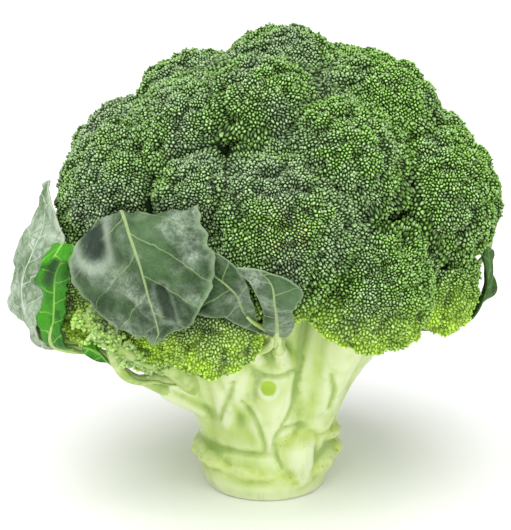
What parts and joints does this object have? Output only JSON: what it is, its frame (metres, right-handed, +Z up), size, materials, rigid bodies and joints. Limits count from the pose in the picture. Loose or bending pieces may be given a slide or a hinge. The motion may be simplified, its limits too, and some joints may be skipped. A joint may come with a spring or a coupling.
{
  "type": "broccoli head",
  "caption": "Head of broccoli standing on its cut stem: a pale forking stalk, a wide domed crown of budded florets, and curled grey-green leaves.",
  "frame": {"origin": "middle of the flat cut face at the foot of the stem", "axes": "+Z up the stem towards the crown, front of the head (large folded leaf) facing -Y, +X to the right seen from the front"},
  "size_m": [0.1774, 0.1615, 0.1693],
  "materials": {
    "buds": "matte, tightly beaded flower buds with a blue-grey bloom",
    "stalk": "smooth and slightly waxy, pale green",
    "leaf": "waxy grey-green leaf with a pale bloom",
    "young_leaf": "thin bright green leaf",
    "leaf_back": "whitish green underside of a leaf with raised veins"
  },
  "bodies": {
    "root": {"stalk": "stalk", "floret_front": "buds", "floret_front_small": "buds", "floret_left": "buds", "floret_upper_left": "buds", "floret_upper_front": "buds", "floret_top": "buds", "floret_right_front": "buds", "floret_upper_right": "buds", "floret_right": "buds", "floret_low_right_front": "buds", "floret_low_right": "buds", "floret_low_front": "buds", "floret_low_left_front": "buds", "floret_low_left": "buds", "floret_left_back": "buds", "floret_low_left_back": "buds", "floret_back_left": "buds", "floret_low_back_left": "buds", "floret_back": "buds", "floret_low_back": "buds", "floret_back_right": "buds", "floret_low_back_right": "buds", "floret_right_back": "buds", "floret_low_right_back": "buds", "floret_upper_back_left": "buds", "floret_upper_back_right": "buds", "leaf_front": "leaf", "leaf_front_thin": "leaf", "leaf_front_side": "leaf", "leaf_left_outer": "leaf_back", "leaf_left_inner": "young_leaf", "leaf_low_left": "young_leaf", "leaf_right": "leaf", "leaf_right_back": "young_leaf"}
  },
  "joints": []
}
